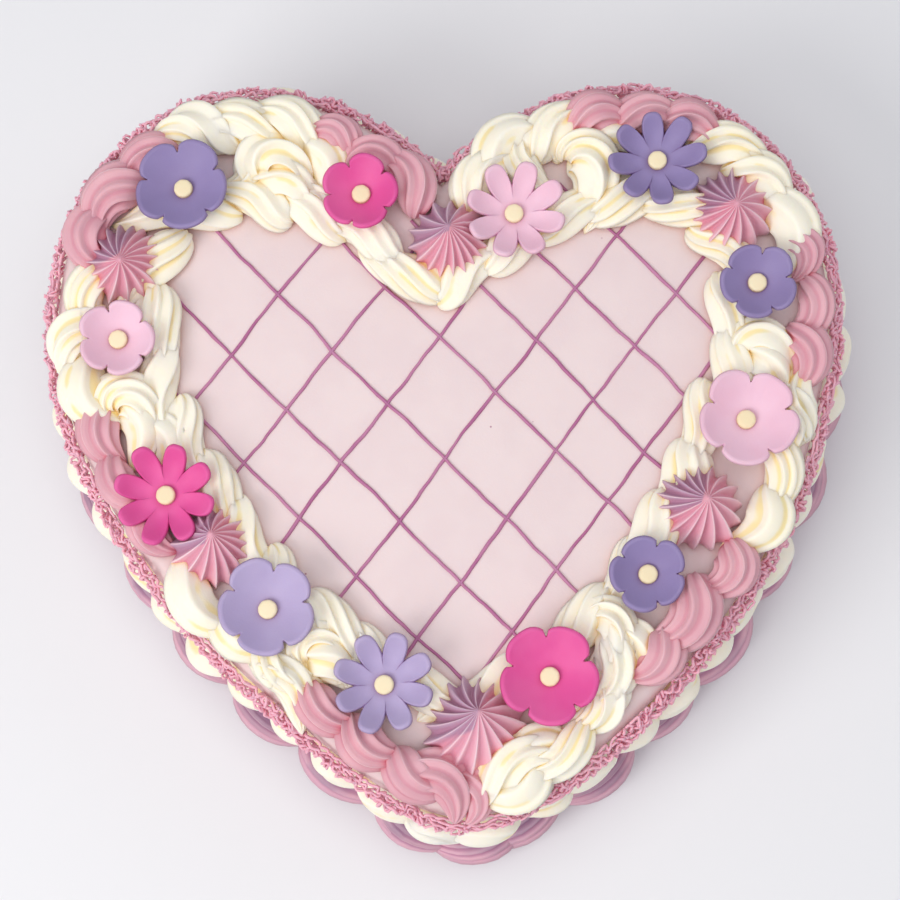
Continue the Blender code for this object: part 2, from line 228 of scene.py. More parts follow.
def ribWave(tip, share, phase):
    # 0 on a crest and 1 in the hollow beside it, round the piping tip
    share += tip["uneven"] * math.sin(2 * math.pi * share + phase) / (2 * math.pi)
    turn = (tip["ribs"] * share) % 1
    lean = tip["lean"]
    turn = turn / lean / 2 if turn < lean else 1 - (1 - turn) / (1 - lean) / 2
    return math.sin(math.pi * turn) ** tip["power"]


def markRidges(piece, values):
    ridge = piece.data.attributes.new("ridge", "FLOAT", "POINT")
    for item, value in zip(ridge.data, values):
        item.value = value


def pipeStroke(name, tip, stations):
    # icing pressed through a star tip; a station is its place, width, height and roll
    around = tip["ribs"] * tip["steps"]
    deselectAll()
    bpy.ops.mesh.primitive_grid_add(x_subdivisions=around, y_subdivisions=len(stations) - 1, size=1)
    piece = bpy.context.object
    piece.name = name
    frames = []
    for index, station in enumerate(stations):
        before = stations[max(index - 1, 0)][0]
        after = stations[min(index + 1, len(stations) - 1)][0]
        tangent = (after - before).normalized()
        across = Vector((0, 0, 1)).cross(tangent)
        across = across.normalized() if across.length > 0.001 else Vector((0, 1, 0))
        frames.append((across, tangent.cross(across)))
    phase = dice.uniform(0, 6)
    ridges = []
    for vertex in piece.data.vertices:
        row, column = divmod(vertex.index, around + 1)
        place, width, height, roll = stations[row]
        across, up = frames[row]
        wave = ribWave(tip, column / around, phase)
        turn = 2 * math.pi * column / around
        depth = tip["depth"] * (1 + tip["shallow"] * math.sin(turn + phase * 2))
        radius = 1 - depth * wave
        sideways = across * (width * radius * math.cos(turn + roll))
        vertex.co = place + sideways + up * (height * radius * math.sin(turn + roll))
        ridges.append(1 - wave)
    markRidges(piece, ridges)
    closeSurface(piece)
    return piece


def shellStations(shell):
    # path of one shell: it swells up, bows outward and is pulled inward to a tail
    count, vary = shell["stations"], shell["loose"]
    head = shell["head"] + vary * dice.uniform(-0.2, 0.2)
    curl = shell["curl"] * (1 + vary * dice.uniform(-0.25, 0.25))
    snake = shell["snake"] * (1 + vary * dice.uniform(-0.8, 0.8))
    length = shell["length"] * (1 + vary * dice.uniform(-0.12, 0.12)) * mm
    plump = 1 + vary * dice.uniform(-0.1, 0.1)
    twist = shell["twist"] * (1 + vary * dice.uniform(-0.6, 0.6))
    start = dice.uniform(0, 6) * vary
    stations, spot, last = [], Vector((0, 0, 0)), 0
    for index in range(count):
        t = (1 - math.cos(math.pi * index / (count - 1))) / 2
        heading = head + curl * t ** shell["late"] + snake * math.sin(2 * math.pi * t)
        spot = spot + Vector((math.cos(heading), math.sin(heading), 0)) * (length * (t - last))
        last = t
        swell = max(math.sin(math.pi * min(t + 0.004, 1) ** shell["early"]), 0.002) ** shell["blunt"]
        size = shell["size"] * plump * swell * mm
        level = Vector((0, 0, shell["lift"] * size * shell["tall"] + shell["tailUp"] * t * t * mm))
        stations.append((spot + level, size * shell["wide"], size * shell["tall"], start + twist * (0.5 - t)))
    middle = sum((station[0] for station in stations), Vector()) / count
    shift = Vector((-stations[0][0].x - 0.1 * length, -middle.y, 0))
    return [(place + shift, width, height, roll) for place, width, height, roll in stations]


# materials

def newMaterial(name):
    material = bpy.data.materials.new(name)
    material.use_nodes = True
    tree = material.node_tree
    return material, tree.nodes, tree.links, tree.nodes["Principled BSDF"]


def addNoise(nodes, links, coordinates, scale, detail=3):
    grain = nodes.new("ShaderNodeTexNoise")
    grain.inputs["Scale"].default_value = scale
    grain.inputs["Detail"].default_value = detail
    links.new(coordinates, grain.inputs["Vector"])
    return grain


def mixColours(nodes, links, factor, first, second):
    mixer = nodes.new("ShaderNodeMix")
    mixer.data_type = "RGBA"
    links.new(factor, mixer.inputs["Factor"])
    for socket, colour in ((mixer.inputs["A"], first), (mixer.inputs["B"], second)):
        if isinstance(colour, bpy.types.NodeSocket):
            links.new(colour, socket)
        else:
            socket.default_value = (*colour, 1)
    return mixer.outputs["Result"]


def multiplyColour(nodes, links, first, second):
    mixer = nodes.new("ShaderNodeMix")
    mixer.data_type = "RGBA"
    mixer.blend_type = "MULTIPLY"
    mixer.inputs["Factor"].default_value = 1
    links.new(first, mixer.inputs["A"])
    if isinstance(second, bpy.types.NodeSocket):
        links.new(second, mixer.inputs["B"])
    else:
        mixer.inputs["B"].default_value = (*second, 1)
    return mixer.outputs["Result"]


def readAttribute(nodes, name):
    reader = nodes.new("ShaderNodeAttribute")
    reader.attribute_name = name
    return reader.outputs["Fac"]


def multiplyAdd(nodes, links, first, factor, added):
    total = nodes.new("ShaderNodeMath")
    total.operation = "MULTIPLY_ADD"
    total.inputs[1].default_value = factor
    links.new(first, total.inputs[0])
    links.new(added, total.inputs[2])
    return total.outputs["Value"]


def ramp(nodes, links, factor, low, high):
    # factor stretched between two levels
    stretch = nodes.new("ShaderNodeMapRange")
    stretch.interpolation_type = "SMOOTHSTEP"
    stretch.inputs["From Min"].default_value = low
    stretch.inputs["From Max"].default_value = high
    links.new(factor, stretch.inputs["Value"])
    return stretch.outputs["Result"]


def finishSurface(nodes, links, shader, coordinates, look):
    # fine pores and soft waves, roughness and light that sinks in
    fine = addNoise(nodes, links, coordinates, look["grain"], 4)
    soft = addNoise(nodes, links, coordinates, look["waves"], 2)
    softBump = nodes.new("ShaderNodeBump")
    softBump.inputs["Strength"].default_value = look["waveStrength"]
    softBump.inputs["Distance"].default_value = look["waveDepth"] * mm
    fineBump = nodes.new("ShaderNodeBump")
    fineBump.inputs["Strength"].default_value = look["grainStrength"]
    fineBump.inputs["Distance"].default_value = look["grainDepth"] * mm
    links.new(soft.outputs["Fac"], softBump.inputs["Height"])
    links.new(fine.outputs["Fac"], fineBump.inputs["Height"])
    links.new(softBump.outputs["Normal"], fineBump.inputs["Normal"])
    links.new(fineBump.outputs["Normal"], shader.inputs["Normal"])
    rough = nodes.new("ShaderNodeMapRange")
    rough.inputs["To Min"].default_value = look["roughness"] - look["roughSpread"]
    rough.inputs["To Max"].default_value = look["roughness"] + look["roughSpread"]
    links.new(soft.outputs["Fac"], rough.inputs["Value"])
    links.new(rough.outputs["Result"], shader.inputs["Roughness"])
    shader.inputs["Subsurface Weight"].default_value = look["sinkIn"]
    shader.inputs["Subsurface Radius"].default_value = look["sinkColour"]
    shader.inputs["Subsurface Scale"].default_value = look["sinkDepth"] * mm
    shader.inputs["Specular IOR Level"].default_value = look["gloss"]


def addTone(nodes, links, coordinates, cloud, colour, look):
    # the second colour from the same bag, by an attribute or by height
    if look["toneFrom"] == "attribute":
        factor = readAttribute(nodes, "tone")
    else:
        split = nodes.new("ShaderNodeSeparateXYZ")
        links.new(coordinates, split.inputs["Vector"])
        height = multiplyAdd(nodes, links, cloud, look["toneWander"], split.outputs["Z"])
        factor = ramp(nodes, links, height, *look["toneHeights"])
    return mixColours(nodes, links, factor, colour, look["tone"])


def paintRidgeLight(nodes, links, cloud, colour, look):
    # painted highlight on the crests, and painted shade here and there in the hollows that the tip leaves
    ridge = readAttribute(nodes, "ridge")
    patches = ramp(nodes, links, cloud, *look["patchRange"])
    patchy = multiplyAdd(nodes, links, patches, look["patchy"], ridge)
    hollow = multiplyColour(nodes, links, colour, look["hollow"])
    colour = mixColours(nodes, links, ramp(nodes, links, patchy, 0, look["hollowTo"]), hollow, colour)
    strength = nodes.new("ShaderNodeMath")
    strength.operation = "MULTIPLY"
    strength.inputs[1].default_value = look["crestShare"]
    links.new(ramp(nodes, links, ridge, look["crestFrom"], 1), strength.inputs[0])
    return mixColours(nodes, links, strength.outputs["Value"], colour, look["crest"])


def addSpecks(nodes, links, coordinates, colour, look):
    # tiny dark specks and air holes
    cells = nodes.new("ShaderNodeTexVoronoi")
    cells.inputs["Scale"].default_value = look["specks"]
    links.new(coordinates, cells.inputs["Vector"])
    clear = ramp(nodes, links, cells.outputs["Distance"], *look["speckEdge"])
    return mixColours(nodes, links, clear, look["speckColour"], colour)


def icingMaterial(name, look):
    material, nodes, links, shader = newMaterial(name)
    coordinates = nodes.new("ShaderNodeTexCoord").outputs["Object"]
    cloud = addNoise(nodes, links, coordinates, look["patches"], 2).outputs["Fac"]
    mottled = ramp(nodes, links, cloud, *look["mottleRange"])
    colour = mixColours(nodes, links, mottled, look["colour"], look["second"])
    if "tone" in look:
        colour = addTone(nodes, links, coordinates, cloud, colour, look)
    # painted highlight on rib crests and painted shade in rib hollows
    if "crest" in look:
        colour = paintRidgeLight(nodes, links, cloud, colour, look)
    if "specks" in look:
        colour = addSpecks(nodes, links, coordinates, colour, look)
    # painted shade: the colour is darkened towards the deep tint in creases, corners and under toppings,
    # where ambient occlusion finds them
    occlusion = nodes.new("ShaderNodeAmbientOcclusion")
    occlusion.samples = look["hollowRays"]
    occlusion.inputs["Distance"].default_value = look["hollowReach"] * mm
    lit = ramp(nodes, links, occlusion.outputs["AO"], *look["hollowRange"])
    shade = mixColours(nodes, links, lit, look["deep"], (1, 1, 1))
    links.new(multiplyColour(nodes, links, colour, shade), shader.inputs["Base Color"])
    finishSurface(nodes, links, shader, coordinates, look)
    return material


# the deep colour with its reach, range and rays sets the painted shade in crevices; the hollow colour sets
# painted shade in rib hollows, and the crest colour a painted highlight on rib crests
icingLook = {"patches": 60, "mottleRange": (0.35, 0.65), "grain": 1400, "grainStrength": 0.2,
             "grainDepth": 0.3, "waves": 180, "waveStrength": 0.1, "waveDepth": 1,
             "roughness": 0.5, "roughSpread": 0.06, "gloss": 0.35,
             "sinkIn": 0.12, "sinkColour": (1, 0.7, 0.5), "sinkDepth": 1.5,
             "hollowReach": 5, "hollowRange": (0.1, 0.8), "hollowRays": 3, "deep": (1, 0.8, 0.62),
             "hollow": (1, 0.9, 0.8), "hollowTo": 0.5, "patchy": 0, "patchRange": (0.42, 0.60),
             "crestFrom": 0.75, "crestShare": 0.5}


def icing(name, **changes):
    return icingMaterial(name, {**icingLook, **changes})


# each icing gives its own colours and, beside them, its painted shade colours and its painted highlight
# colour
cream = icing(
    "creamIcing", colour=(0.94, 0.87, 0.72), second=(0.95, 0.89, 0.76), deep=(1, 0.80, 0.40),
    hollow=(1, 0.90, 0.58), hollowTo=0.22, patchy=0.3, crest=(0.97, 0.93, 0.84), hollowReach=3,
    sinkIn=0.3, sinkDepth=2.5, sinkColour=(1, 0.8, 0.5))
pink = icing(
    "pinkIcing", colour=(0.74, 0.42, 0.47), second=(0.69, 0.37, 0.43), deep=(0.90, 0.42, 0.48),
    hollow=(0.93, 0.78, 0.83), hollowTo=0.2, crest=(0.88, 0.65, 0.69), crestFrom=0.8, crestShare=0.8,
    hollowReach=3, sinkIn=0.2)
frillPink = icing(
    "frillIcing", colour=(0.88, 0.47, 0.57), second=(0.82, 0.42, 0.52), deep=(0.95, 0.35, 0.50),
    grainStrength=0.5, roughness=0.6, hollowReach=1.2, sinkIn=0.3)
dropIcing = icing(
    "dropIcing", colour=(0.80, 0.45, 0.53), second=(0.77, 0.42, 0.51), deep=(0.92, 0.50, 0.58),
    tone=(0.50, 0.32, 0.44), toneFrom="attribute", hollow=(0.90, 0.74, 0.80),
    crest=(0.92, 0.74, 0.78), crestFrom=0.6, crestShare=0.85, hollowReach=2.5, sinkIn=0.2)
baseIcing = icing(
    "baseIcing", colour=(0.74, 0.44, 0.53), second=(0.69, 0.40, 0.50), deep=(0.8, 0.5, 0.6),
    tone=(0.44, 0.28, 0.38), toneFrom="height", toneHeights=(0.0185, 0.0225), toneWander=0.008,
    hollow=(0.68, 0.54, 0.66), crest=(0.80, 0.54, 0.63), crestFrom=0.7)
paleIcing = icing(
    "paleIcing", colour=(0.79, 0.655, 0.655), second=(0.77, 0.63, 0.635), deep=(0.94, 0.74, 0.72),
    waves=60, waveStrength=0.2, grainStrength=0.1, roughness=0.55, hollowReach=4,
    specks=75, speckEdge=(0.016, 0.03), speckColour=(0.42, 0.20, 0.28))
plumLine = icing(
    "plumLine", colour=(0.42, 0.13, 0.28), second=(0.50, 0.20, 0.35), deep=(0.8, 0.6, 0.7),
    hollowReach=1.0, roughness=0.4)
beadIcing = icing("beadIcing", colour=(0.88, 0.76, 0.52), second=(0.85, 0.72, 0.47), deep=(0.6, 0.45, 0.3))
pasteColours = {"purple": ((0.27, 0.21, 0.41), (0.29, 0.23, 0.44)),
                "lilac": ((0.42, 0.34, 0.55), (0.46, 0.38, 0.59)),
                "hot_pink": ((0.72, 0.085, 0.32), (0.76, 0.12, 0.36)),
                "light_pink": ((0.80, 0.50, 0.62), (0.83, 0.55, 0.67))}
pastes = {colour: icing(colour + "Paste", colour=first, second=second, deep=(0.72, 0.5, 0.66),
                        waves=90, grainStrength=0.1, roughness=0.55, hollowReach=2.5)
          for colour, (first, second) in pasteColours.items()}
print("materials made")


# the cake and its crossed lines

def wallOutline(steps, inset):
    # points right round the heart, from the notch to the tip and back
    points = []
    for side, order in ((1, range(steps)), (-1, range(steps, 0, -1))):
        for index in order:
            place, along, out = walk(walls[side], walls[side]["length"] * index / steps)
            points.append(place - out * inset * mm)
    return points


def makeCake():
    points = wallOutline(cake["outlineSteps"], 0)
    rounding = cake["rounding"] * mm
    flat = bpy.data.curves.new("cakeOutline", "CURVE")
    flat.dimensions = "2D"
    flat.fill_mode = "BOTH"
    flat.extrude = cake["height"] * mm / 2 - rounding
    flat.bevel_depth = rounding
    flat.bevel_resolution = cake["roundSteps"]
    flat.offset = -rounding
    spline = flat.splines.new("POLY")
    spline.points.add(len(points) - 1)
    for knot, point in zip(spline.points, points):
        knot.co = (*point, 1)
    spline.use_cyclic_u = True
    outline = bpy.data.objects.new("icedCake", flat)
    bpy.context.scene.collection.objects.link(outline)
    outline.location.z = cake["height"] * mm / 2
    makeActive(outline)
    bpy.ops.object.convert(target="MESH")
    bpy.ops.object.transform_apply()
    body = bpy.context.object
    closeSurface(body)
    return dress(body, paleIcing, ["cake"])


# the two directions are an angle in degrees and the distances of their lines from the middle;
# a wobble is its rate, its noise layer and its reach
lines = {"directions": ((134.7, (48.8, 27.4, 3.9, -22.4, -42.4, -63.3, -84.7)),
                        (53.1, (69.0, 44.6, 20.5, -5.0, -31.5, -53.6))),
         "radius": 0.52, "lift": 0.2, "inset": 24, "outlineSteps": 40, "step": 2,
         "wobbles": ((28, 0, 1.6), (90, 3, 0.5), (230, 7, 0.25)),
         "pressureRate": 90, "pressureLayer": 5, "pressure": 0.3}


def insideSpan(outline, along, across, distance):
    # where a straight line enters and leaves the outline
    crossings = []
    for a, b in zip(outline, outline[1:] + outline[:1]):
        left, right = a.dot(across) - distance, b.dot(across) - distance
        if left * right < 0:
            crossings.append(a.lerp(b, left / (left - right)).dot(along))
    return min(crossings), max(crossings)


def makeLines():
    outline = wallOutline(lines["outlineSteps"], lines["inset"])
    string = bpy.data.curves.new("plumLines", "CURVE")
    string.dimensions = "3D"
    string.bevel_depth = lines["radius"] * mm
    string.bevel_resolution = 3
    string.use_fill_caps = True
    for angle, distances in lines["directions"]:
        along = Vector((math.cos(math.radians(angle)), math.sin(math.radians(angle)), 0))
        across = Vector((-along.y, along.x, 0))
        for distance in distances:
            low, high = insideSpan(outline, along, across, distance * mm)
            count = int((high - low) / (lines["step"] * mm))
            spline = string.splines.new("POLY")
            spline.points.add(count)
            shift = dice.uniform(0, 90)
            for index, knot in enumerate(spline.points):
                run = low + (high - low) * index / count
                drift = sum(noise.noise(Vector((run * rate + shift, distance, layer))) * reach
                            for rate, layer, reach in lines["wobbles"])
                point = along * run + across * (distance + drift) * mm
                knot.co = (point.x, point.y, (cake["height"] + lines["lift"]) * mm, 1)
                pressed = Vector((run * lines["pressureRate"] + shift, lines["pressureLayer"], distance))
                knot.radius = 1 + lines["pressure"] * noise.noise(pressed)
    piece = bpy.data.objects.new("plumLines", string)
    bpy.context.scene.collection.objects.link(piece)
    makeActive(piece)
    bpy.ops.object.convert(target="MESH")
    piece = bpy.context.object
    closeSurface(piece)
    return dress(piece, plumLine)


makeCake()
makeLines()
print("cake and lines made")


# flowers, in the places of their solids

flowerShape = {"floor": 6.2, "rim": 13.2, "thick": 1.3, "curve": 1.7, "wander": 0.05, "tilt": 2}
blossomShape = {"petals": 5, "around": 150, "rings": 14, "slit": 0.14, "slitWidth": 1.8, "round": 0.17,
                "power": 2.8, "wave": 0.12, "waveRate": 1.3, "dent": 0.03, "dentPower": 3}
daisyShape = {"petals": 8, "around": 192, "rings": 16, "core": 0.34, "oval": 3.1, "end": 0.9,
              "wave": 0.10, "waveRate": 3.7, "dent": 0.06, "dentFrom": 0.3, "dentOver": 0.62}
flowerTurns = {"blossom": (-10, 4, -28, -24, -36, -14, -27, 0), "daisy": (6, -16, 4, 8)}
underFlower = {"reach": 1.04, "gap": 1.6, "give": 0.06}
beadShape = {"sides": 8, "radius": 3.25, "height": 2.8, "edge": 1.0, "above": 1.0}
dabShape = {"radius": 7.8, "height": 4.4, "above": 1.1}


def placeOf(node):
    low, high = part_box(node)
    centre = (low + high) / 2
    return Vector((centre.x, centre.y, 0)), max(high.x - low.x, high.y - low.y) / 2


def discOfRings(name, around, rings):
    # a fan of faces, its rim extruded outward ring by ring to a radius of 1
    deselectAll()
    bpy.ops.mesh.primitive_circle_add(vertices=around, radius=1 / rings, fill_type="TRIFAN")
    piece = bpy.context.object
    piece.name = name
    bpy.ops.object.mode_set(mode="EDIT")
    bpy.ops.mesh.select_all(action="SELECT")
    bpy.ops.mesh.region_to_loop()
    for ring in range(1, rings):
        bpy.ops.mesh.extrude_edges_move()
        grow = (ring + 1) / ring
        bpy.ops.transform.resize(value=(grow, grow, 1), center_override=(0, 0, 0))
    bpy.ops.object.mode_set(mode="OBJECT")
    return piece


def petalOutline(shape, turn):
    # share of the full radius at an angle, and how far across its petal (-1 to 1)
    sector = 2 * math.pi / shape["petals"]
    across = ((turn / sector) % 1 - 0.5) * 2
    if "slit" in shape:
        edge = (1 - abs(across)) * 180 / shape["petals"]
        slit = shape["slit"] * math.exp(-(edge / shape["slitWidth"]) ** 2)
        return 1 - shape["round"] * abs(across) ** shape["power"] - slit, across
    reach = max(1 - abs(across) ** shape["oval"], 0) ** shape["end"]
    return shape["core"] + (1 - shape["core"]) * reach, across


def makeFlower(name, node, shape, paste):
    centre, radius = placeOf(node)
    piece = discOfRings(name, shape["around"], shape["rings"])
    kind, number = node.split("_")[:2]
    turned = math.radians(flowerTurns[kind][int(number) - 1])
    phase = dice.uniform(0, 50)
    floor, rim = flowerShape["floor"] * mm, flowerShape["rim"] * mm
    for vertex in piece.data.vertices:
        ring = math.hypot(vertex.co.x, vertex.co.y)
        angle = math.atan2(vertex.co.y, vertex.co.x)
        reach, across = petalOutline(shape, angle + math.pi)
        flat = ring / (1 + (1 / reach - 1) * ring)
        rate = shape["waveRate"]
        if kind == "blossom":
            # one wave runs round the whole flower and each petal is a shallow cup
            wave = noise.noise(Vector((math.cos(angle) * rate + phase, math.sin(angle) * rate, 0)))
            dent = flat ** shape["dentPower"]
        else:
            # every petal has its own bend and a groove along its middle
            petal = math.floor((angle + math.pi) / (2 * math.pi) * shape["petals"])
            wave = noise.noise(Vector((petal * rate + phase, 0, 0)))
            outward = max(flat - shape["dentFrom"], 0) / shape["dentOver"]
            dent = math.sin(math.pi * min(outward, 1))
        height = floor + (rim - floor) * flat ** flowerShape["curve"]
        height += radius * shape["wave"] * wave * flat ** 2
        height -= radius * shape["dent"] * (1 - across * across) * dent
        flat *= radius * (1 + flowerShape["wander"] * wave)
        vertex.co = Vector((math.cos(angle) * flat, math.sin(angle) * flat, height))
    piece.data.transform(Matrix.Rotation(turned, 4, "Z"))
    tilt = Vector((dice.uniform(-1, 1), dice.uniform(-1, 1), 0))
    piece.data.transform(Matrix.Rotation(math.radians(flowerShape["tilt"]), 4, tilt.normalized()))
    piece.data.transform(Matrix.Translation(centre + Vector((0, 0, deck))))
    thick = piece.modifiers.new("thick", "SOLIDIFY")
    thick.thickness = flowerShape["thick"] * mm
    thick.offset = -1
    applyAll(piece)
    dress(piece, pastes[paste], [node])
    return centre, radius


def pressUnderFlowers(piece):
    # icing that reaches under a flower stays below its petals
    rise = flowerShape["rim"] - flowerShape["floor"]
    for vertex in piece.data.vertices:
        for centre, radius in flowerSpots:
            away = math.hypot(vertex.co.x - centre.x, vertex.co.y - centre.y) / radius
            if away < underFlower["reach"]:
                petal = flowerShape["floor"] + rise * away ** flowerShape["curve"]
                top = deck + (petal - flowerShape["thick"] - underFlower["gap"]) * mm
                if vertex.co.z > top:
                    vertex.co.z = top + underFlower["give"] * (vertex.co.z - top)


def makeBead(name):
    # a short eight-sided bead with soft edges
    deselectAll()
    bpy.ops.mesh.primitive_cylinder_add(vertices=beadShape["sides"], radius=beadShape["radius"] * mm,
                                        depth=beadShape["height"] * mm, end_fill_type="NGON")
    bead = bpy.context.object
    bead.name = name
    bevel = bead.modifiers.new("edges", "BEVEL")
    bevel.width = beadShape["edge"] * mm
    bevel.segments = 3
    soft = bead.modifiers.new("soft", "SUBSURF")
    soft.levels = soft.render_levels = 1
    applyAll(bead)
    return bead


def makeDab(name):
    # the dab of icing that holds a flower
    deselectAll()
    bpy.ops.mesh.primitive_uv_sphere_add(segments=20, ring_count=12, radius=1)
    dab = bpy.context.object
    dab.name = name
    wide = dabShape["radius"] * mm
    dab.data.transform(Matrix.Diagonal((wide, wide, dabShape["height"] * mm, 1)))
    return dab


bead, dab = makeBead("bead"), makeDab("dab")
beads, dabs, flowerSpots = [], [], []
for node in sorted(nodesNamed(("blossom", "daisy"))):
    kind, number, paste = node.split("_", 2)
    shape = blossomShape if kind == "blossom" else daisyShape
    centre, radius = makeFlower(kind + "Flower" + number, node, shape, paste)
    spin = Matrix.Rotation(dice.uniform(0, 3), 4, "Z")
    flowerSpots.append((centre, radius))
    beadHeight = deck + (flowerShape["floor"] + beadShape["above"]) * mm
    beads.append(copyTo(bead, Matrix.Translation(centre + Vector((0, 0, beadHeight))) @ spin))
    dabs.append(copyTo(dab, Matrix.Translation(centre + Vector((0, 0, deck + dabShape["above"] * mm)))))
dress(joinPieces("flowerBeads", beads), beadIcing)
dress(joinPieces("flowerDabs", dabs), cream)
print("flowers made")


# star drops and rosettes

# the profile is height and radius in shares; lean moves the top of a drop along x and y, in mm
dropShape = {"tip": starTip(ribs=17, steps=8, depth=0.30, power=0.8, uneven=0.2),
             "profile": ((0, 0.90), (0.07, 0.98), (0.16, 1.02), (0.27, 1.01), (0.39, 0.93), (0.51, 0.80),
                         (0.63, 0.64), (0.74, 0.47), (0.84, 0.31), (0.92, 0.18), (0.97, 0.10), (1.0, 0.03)),
             "rings": 34, "height": 15.6, "twist": 0.3, "spread": 1.05, "shallowFoot": 0.5, "footTo": 0.45,
             "lumps": 0.12, "lumpRate": 1.5, "purpleAt": 135, "purpleHalf": 62, "purpleBlend": 7,
             "lean": {"star_drop_5": (1.5, 5.5), "star_drop_6": (2.0, 2.5), "star_drop_1": (1.0, -2.0)}}
rosetteShape = {"tip": starTip(ribs=8, steps=10, depth=0.30, power=1, uneven=0.4, lean=0.3),
                "stations": 80, "length": 30, "size": 8.0, "wide": 1.0, "tall": 0.80, "early": 0.95,
                "blunt": 0.55, "head": 0, "curl": -5.4, "late": 0.42, "snake": 0.1, "twist": 2.2,
                "lift": 0.66, "tailUp": -1.0, "loose": 0.5, "lumps": (10, 0.8)}
# where each rosette's tail points, in degrees, and its size
rosettes = ((-40, 1.08), (-95, 1.08), (-60, 0.98), (-60, 1.02), (-30, 0.92), (-95, 0.92))


def makeDrop(node):
    # ribbed rings that shrink and turn as they climb
    centre, radius = placeOf(node)
    tip, profile, rings = dropShape["tip"], dropShape["profile"], dropShape["rings"]
    around = tip["ribs"] * tip["steps"]
    deselectAll()
    bpy.ops.mesh.primitive_grid_add(x_subdivisions=around, y_subdivisions=rings - 1, size=1)
    piece = bpy.context.object
    piece.name = "starDrop" + node[-1]
    loose = (dice.uniform(-2, 2), dice.uniform(-2, 2))
    lean = Vector((*dropShape["lean"].get(node, loose), 0)) * mm
    turned, phase = dice.uniform(0, 6), dice.uniform(0, 80)
    lumpRate = dropShape["lumpRate"]
    ridges = []
    for vertex in piece.data.vertices:
        row, column = divmod(vertex.index, around + 1)
        t = row / (rings - 1) * (len(profile) - 1)
        first = min(int(t), len(profile) - 2)
        up = profile[first][0] + (profile[first + 1][0] - profile[first][0]) * (t - first)
        wide = profile[first][1] + (profile[first + 1][1] - profile[first][1]) * (t - first)
        column %= around
        angle = 2 * math.pi * column / around
        lump = noise.noise(Vector((math.cos(angle) * lumpRate, math.sin(angle) * lumpRate, phase)))
        uneven = 1 + dropShape["lumps"] * lump * wide
        wave = ribWave(tip, column / around, phase)
        turn = angle + turned + dropShape["twist"] * up
        depth = tip["depth"] * (1 - dropShape["shallowFoot"] * max(1 - up / dropShape["footTo"], 0))
        reach = radius * dropShape["spread"] * wide * (1 - depth * wave) * uneven
        level = up * dropShape["height"] * mm
        vertex.co = Vector((math.cos(turn) * reach, math.sin(turn) * reach, level)) + lean * up * up
        ridges.append(1 - wave)
    piece.data.transform(Matrix.Translation(centre + Vector((0, 0, deck))))
    markRidges(piece, ridges)
    closeSurface(piece)
    pressUnderFlowers(piece)
    paintTone(piece, centre)
    return dress(piece, dropIcing, [node])


def paintTone(piece, centre):
    # purple icing on the side of the drop that faces up and left
    tone = piece.data.attributes.new("tone", "FLOAT", "POINT")
    blend = dropShape["purpleBlend"]
    for vertex, value in zip(piece.data.vertices, tone.data):
        angle = math.degrees(math.atan2(vertex.co.y - centre.y, vertex.co.x - centre.x))
        apart = abs((angle - dropShape["purpleAt"] + 180) % 360 - 180)
        value.value = min(max((dropShape["purpleHalf"] + blend - apart) / (2 * blend), 0), 1)


def makeRosette(number, tail, size):
    # one stroke that curls round itself, turned until its tail points the right way
    node = "rosette_" + str(number)
    stations = shellStations(rosetteShape)
    middle = sum((place for place, *rest in stations), Vector()) / len(stations)
    point = stations[-1][0] - middle
    turn = Matrix.Rotation(math.radians(tail) - math.atan2(point.y, point.x), 4, "Z") @ Matrix.Scale(size, 4)
    rosette = pipeStroke("rosette" + str(number), rosetteShape["tip"], stations)
    rosette.data.transform(turn @ Matrix.Translation((-middle.x, -middle.y, 0)))
    rosette.data.transform(Matrix.Translation(placeOf(node)[0] + Vector((0, 0, deck))))
    unevenSurface(rosette, *rosetteShape["lumps"])
    pressUnderFlowers(rosette)
    return dress(rosette, cream, [node])


for node in sorted(nodesNamed("star_drop")):
    makeDrop(node)
for number, (tail, size) in enumerate(rosettes, 1):
    makeRosette(number, tail, size)
print("drops and rosettes made")


# piped borders

pinkShell = {"tip": starTip(ribs=9, steps=7, depth=0.27, power=0.9, uneven=0.15, lean=0.4, shallow=0.12),
             "stations": 28, "length": 23, "size": 6.8, "wide": 1.06, "tall": 0.9, "early": 0.74,
             "blunt": 0.66, "head": 0.62, "curl": -2.0, "late": 1.3, "snake": 0.1, "twist": 0.9,
             "lift": 0.62, "tailUp": 1.2, "loose": 1}
creamShell = {"tip": starTip(ribs=7, steps=8, depth=0.31, power=1, uneven=0.45, lean=0.3),
              "stations": 36, "length": 33, "size": 7.2, "wide": 1.15, "tall": 0.84, "early": 0.74,
              "blunt": 0.78, "head": 0.42, "curl": -0.85, "late": 1.1, "snake": 0.16, "twist": 2.2,
              "lift": 0.62, "tailUp": 1.0, "loose": 1.4}
innerShell = {"tip": starTip(ribs=7, steps=8, depth=0.28, power=1, uneven=0.4, lean=0.3),
              "stations": 30, "length": 35, "size": 5.7, "wide": 1.28, "tall": 0.80, "early": 0.66,
              "blunt": 0.56, "head": -0.22, "curl": 0.6, "late": 1.2, "snake": 0.38, "twist": 1.7,
              "lift": 0.60, "tailUp": 0, "loose": 1}
baseShell = {"tip": starTip(ribs=16, steps=5, depth=0.17, power=0.75, uneven=0.2),
             "stations": 22, "length": 39, "size": 10.4, "wide": 1.06, "tall": 1.02, "early": 0.72,
             "blunt": 0.60, "head": 0.45, "curl": -1.2, "late": 1.2, "snake": 0.1, "twist": 0.35,
             "lift": 1.0, "tailUp": 2, "loose": 0.7}
swagShell = {"tip": starTip(ribs=6, steps=6, depth=0.17, power=1.2, uneven=0.35, lean=0.35),
             "stations": 26, "length": 23, "size": 8.8, "wide": 1.0, "tall": 0.98, "early": 0.75,
             "blunt": 0.62, "head": -0.3, "curl": 0.6, "late": 1.2, "snake": 0.2, "twist": 0.8,
             "lift": 0.05, "tailUp": 0, "loose": 1}

